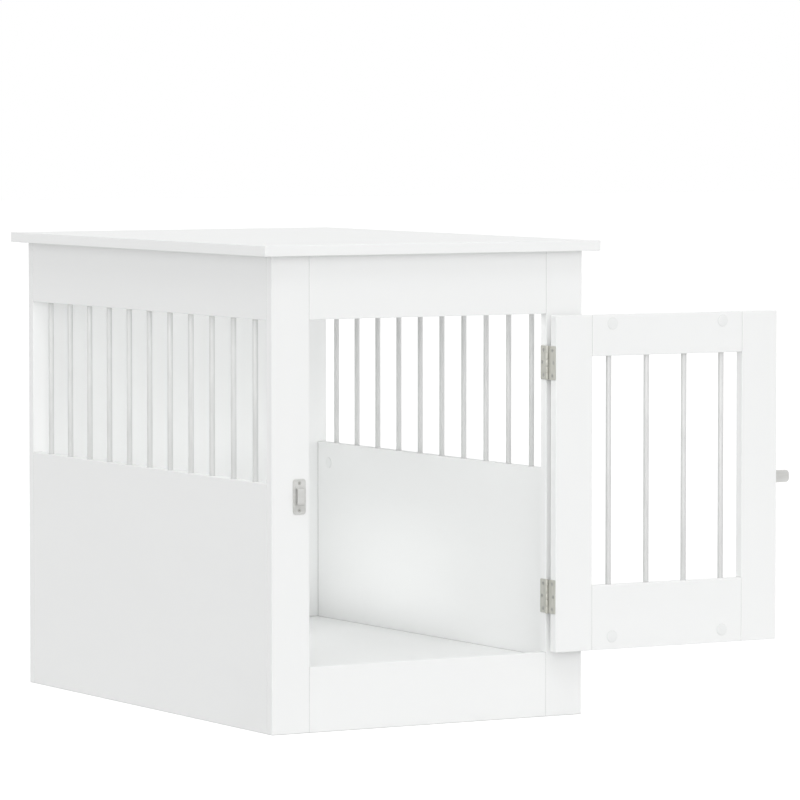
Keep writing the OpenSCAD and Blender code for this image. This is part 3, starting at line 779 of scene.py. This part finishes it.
# Latch: plates with pressed straps, a flat bolt and a turned knob
latchLook = {
    "plateThick": sheetThick,
    "cornerRound": 4,
    "edgeRound": 0.2,
    "plateLength": 52,
    "plateHeight": 38,
    "plateInset": 1.7,
    "guideWidth": 4,
    "guideInset": 0.4,    # how far a guide stands back from the plate's end
    "boltHeight": 18,
    "boltThick": 3,
    "boltThrow": 33.5,
    "boltEndRound": 6,
    "boltEdge": 0.7,
    "slideGap": 0.3,
    "strapSplay": 1.2,
    "strapBend": 1.9,
    "screwMargin": 11.5,
    "screwRoom": 1.2,     # from a screw's head to the plate's long edge
    "knobRadius": 7,
    "knobHeight": 6,
    "stemRadius": 3,
    "studRadius": 2,
    "studPlay": 0.1,
    # the ring in the knob's face: shares of the radius, and depths
    "ring": ((0.62, 0), (0.57, 0.25), (0.52, 0.25), (0.47, 0.05)),
}
keeperLook = {
    "width": 19.5,
    "height": 49,
    "bridgeWidth": 11,
    "play": 1.5,
    "screwRise": 19,
}
strapTop = latchLook["plateThick"] * 2 + latchLook["boltThick"] + latchLook["slideGap"] * 2


def makePlate(name, middle, length, height, look):
    thick, corner = look["plateThick"], look["cornerRound"]
    plate = addBlock(name, (middle - length / 2, -height / 2, 0),
                     (middle + length / 2, height / 2, thick))
    pickEdges(plate, lambda a, b: abs(a.z - b.z) > thick / 2 * mm)
    bpy.ops.mesh.bevel(offset=corner * mm, segments=10, affect="EDGES")
    bpy.ops.object.mode_set(mode="OBJECT")
    return plate


def makeStrap(name, middle, width, insideHeight, look):
    # A strip folded up, over and down, then given its thickness
    thick = look["plateThick"]
    half = insideHeight / 2 + thick
    foot = half + look["strapSplay"]
    path = [(middle - width / 2, -foot, thick / 2), (middle - width / 2, -half, strapTop),
            (middle - width / 2, half, strapTop), (middle - width / 2, foot, thick / 2)]
    strap = addOutline(name, path)
    bpy.ops.mesh.select_all(action="SELECT")
    bpy.ops.mesh.extrude_region_move(TRANSFORM_OT_translate={"value": (width * mm, 0, 0)})
    bpy.ops.mesh.select_all(action="SELECT")
    bpy.ops.mesh.normals_make_consistent(inside=False)
    pickEdges(strap, lambda a, b: abs(a.x - b.x) > mm and min(a.z, b.z) > (strapTop - 0.1) * mm)
    bpy.ops.mesh.bevel(offset=look["strapBend"] * mm, segments=6, affect="EDGES")
    bpy.ops.object.mode_set(mode="OBJECT")
    outward = next(face.normal.z for face in strap.data.polygons if abs(face.normal.z) > 0.9)
    useModifier(strap, "SOLIDIFY", thickness=thick * mm, offset=-1 if outward > 0 else 1,
                use_even_offset=True)
    return strap


def makeBolt(name, look):
    low = look["plateThick"] + look["slideGap"]
    tail = -(look["plateInset"] + look["plateLength"])
    tall = look["boltHeight"] / 2
    bolt = addBlock(name, (tail, -tall, low), (look["boltThrow"], tall, low + look["boltThick"]))
    pickEdges(bolt, lambda a, b: min(a.x, b.x) > 0 and abs(a.z - b.z) > mm)
    bpy.ops.mesh.bevel(offset=look["boltEndRound"] * mm, segments=12, affect="EDGES")
    pickFaces(bolt, lambda middle, normal: normal.z > 0.9)
    bpy.ops.mesh.region_to_loop()
    bpy.ops.mesh.bevel(offset=look["boltEdge"] * mm, segments=3, affect="EDGES")
    bpy.ops.object.mode_set(mode="OBJECT")
    knobX = -(look["plateInset"] + look["guideWidth"] + look["slideGap"] + look["stemRadius"])
    hollow, through = look["studRadius"] + look["studPlay"], look["boltThick"] * 3
    hole = addTurned("hole", [(0, 0), (hollow, 0), (hollow, through), (0, through)])
    hole.data.transform(Matrix.Translation((knobX * mm, 0, 0)))
    cutBy(bolt, hole)
    return bolt, knobX


def makeKnob(name, look):
    # Turned knob: stud, stem, rounded rim and a shallow ring in its face
    low = look["plateThick"] + look["slideGap"]
    neck = strapTop + look["slideGap"]
    radius, tall, soft = look["knobRadius"], look["knobHeight"], look["knobHeight"] / 3
    outline = [(0, low), (look["studRadius"], low), (look["studRadius"], low + look["boltThick"]),
               (look["stemRadius"], low + look["boltThick"]), (look["stemRadius"], neck),
               (radius - soft, neck)]
    outline += [(radius - soft + soft * math.cos(a), neck + soft + soft * math.sin(a))
                for a in (-1.3, -0.9, -0.45, 0)]
    outline += [(radius - soft + soft * math.cos(a), neck + tall - soft + soft * math.sin(a))
                for a in (0, 0.45, 0.9, 1.3)]
    face = neck + tall
    outline += [(radius * share, face - depth) for share, depth in look["ring"]]
    outline += [(0, face)]
    return addTurned(name, outline, 56)


def plateScrewPlaces(look):
    rise = look["plateHeight"] / 2 - screwLook["headRadius"] - look["screwRoom"]
    for x in (look["screwMargin"], look["plateLength"] - look["screwMargin"]):
        for side in (-1, 1):
            yield Matrix.Translation(Vector((-look["plateInset"] - x, side * rise, 0)) * mm)


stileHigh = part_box("door_latch_stile")[1]
boltLow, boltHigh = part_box("latch_bolt")
latchPlace = placedAt((stileHigh.x, stileHigh.y, (boltLow.z + boltHigh.z) / 2), (1, 0, 0), (0, 1, 0))
keeperLow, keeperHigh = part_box("keeper_plate")
keeperMiddle = (keeperLow + keeperHigh) / 2
keeperPlace = placedAt((keeperMiddle.x, keeperHigh.y, keeperMiddle.z), (-1, 0, 0), (0, -1, 0))

guideSpan = latchLook["boltHeight"] + 2 * latchLook["slideGap"]
plateMiddle = -latchLook["plateInset"] - latchLook["plateLength"] / 2
latchScrewPlaces = list(plateScrewPlaces(latchLook))
latchPlate = makePlate("latchPlateWithGuides", plateMiddle, latchLook["plateLength"],
                       latchLook["plateHeight"], latchLook)
sinkScrews(latchPlate, latchScrewPlaces)
guideMiddle = (latchLook["guideWidth"] + latchLook["guideInset"]) / 2
guideWide = latchLook["guideWidth"] - latchLook["guideInset"]
for x in (guideMiddle, latchLook["plateLength"] - guideMiddle):
    weld(latchPlate, makeStrap("guide", -latchLook["plateInset"] - x, guideWide, guideSpan, latchLook))
roundEdges(latchPlate, latchLook["edgeRound"])
latchPlate.data.transform(latchPlace)
finishPiece(latchPlate, "door", "latch_steel", "latch_plate")
makeScrews("latchScrewSet", "latch_screws", "door", [latchPlace @ place for place in latchScrewPlaces])

bolt, knobX = makeBolt("slidingBolt", latchLook)
bolt.data.transform(latchPlace)
finishPiece(bolt, "bolt", "latch_steel", "latch_bolt")
knob = makeKnob("boltKnob", latchLook)
knob.data.transform(latchPlace @ Matrix.Translation((knobX * mm, 0, 0)))
finishPiece(knob, "bolt", "latch_steel", "latch_knob")

keeperScrewPlaces = [Matrix.Translation((0, side * keeperLook["screwRise"] * mm, 0)) for side in (-1, 1)]
keeper = makePlate("keeperWithBridge", 0, keeperLook["width"], keeperLook["height"], latchLook)
sinkScrews(keeper, keeperScrewPlaces)
weld(keeper, makeStrap("bridge", 0, keeperLook["bridgeWidth"],
                       latchLook["boltHeight"] + 2 * keeperLook["play"], latchLook))
roundEdges(keeper, latchLook["edgeRound"])
keeper.data.transform(keeperPlace)
finishPiece(keeper, "crate_body", "latch_steel", "keeper_plate")
makeScrews("keeperScrewSet", "keeper_screws", "crate_body",
           [keeperPlace @ place for place in keeperScrewPlaces])
bpy.data.objects.remove(firstScrew)
say("latch")

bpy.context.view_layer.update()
say("finished")
